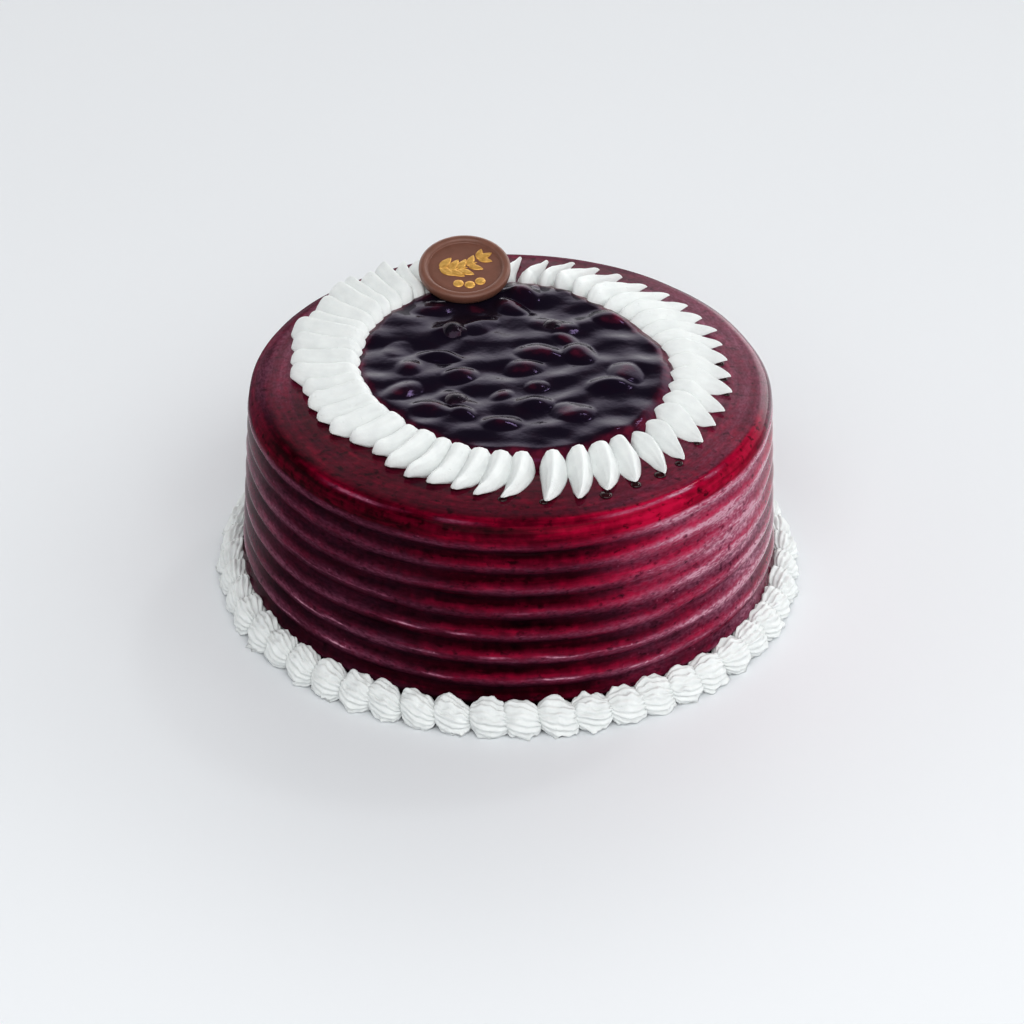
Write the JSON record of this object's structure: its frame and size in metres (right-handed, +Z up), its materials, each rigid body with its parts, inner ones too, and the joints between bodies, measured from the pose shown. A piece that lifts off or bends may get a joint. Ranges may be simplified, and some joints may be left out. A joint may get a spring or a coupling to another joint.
{
  "type": "blueberry cake",
  "caption": "Round glazed cake with fluted sides, a ring of piped cream petals round a pool of berry compote, a chocolate medallion and a piped shell border.",
  "frame": {"origin": "centre of the underside, on the cake's axis, in the plane that it stands on", "axes": "+Z up along the cake's axis; -Y is the front, where the petal ring has its small gap"},
  "size_m": [0.224, 0.2242, 0.1018],
  "materials": {
    "glaze": "wet clear berry glaze",
    "cream": "soft whipped cream",
    "compote": "wet dark berry gel",
    "chocolate": "satin milk chocolate"
  },
  "bodies": {
    "root": {"cake_body": "glaze", "petal_01": "cream", "petal_02": "cream", "petal_03": "cream", "petal_04": "cream", "petal_05": "cream", "petal_06": "cream", "petal_07": "cream", "petal_08": "cream", "petal_09": "cream", "petal_10": "cream", "petal_11": "cream", "petal_12": "cream", "petal_13": "cream", "petal_14": "cream", "petal_15": "cream", "petal_16": "cream", "petal_17": "cream", "petal_18": "cream", "petal_19": "cream", "petal_20": "cream", "petal_21": "cream", "petal_22": "cream", "petal_23": "cream", "petal_24": "cream", "petal_25": "cream", "petal_26": "cream", "petal_27": "cream", "petal_28": "cream", "petal_29": "cream", "petal_30": "cream", "petal_31": "cream", "petal_32": "cream", "petal_33": "cream", "petal_34": "cream", "petal_35": "cream", "petal_36": "cream", "petal_37": "cream", "petal_38": "cream", "petal_39": "cream", "petal_40": "cream", "petal_41": "cream", "petal_42": "cream", "petal_43": "cream", "petal_44": "cream", "petal_45": "cream", "petal_46": "cream", "petal_47": "cream", "petal_48": "cream", "petal_49": "cream", "petal_50": "cream", "berry_compote": "compote", "medallion": "chocolate", "shell_border": "cream"}
  },
  "joints": []
}
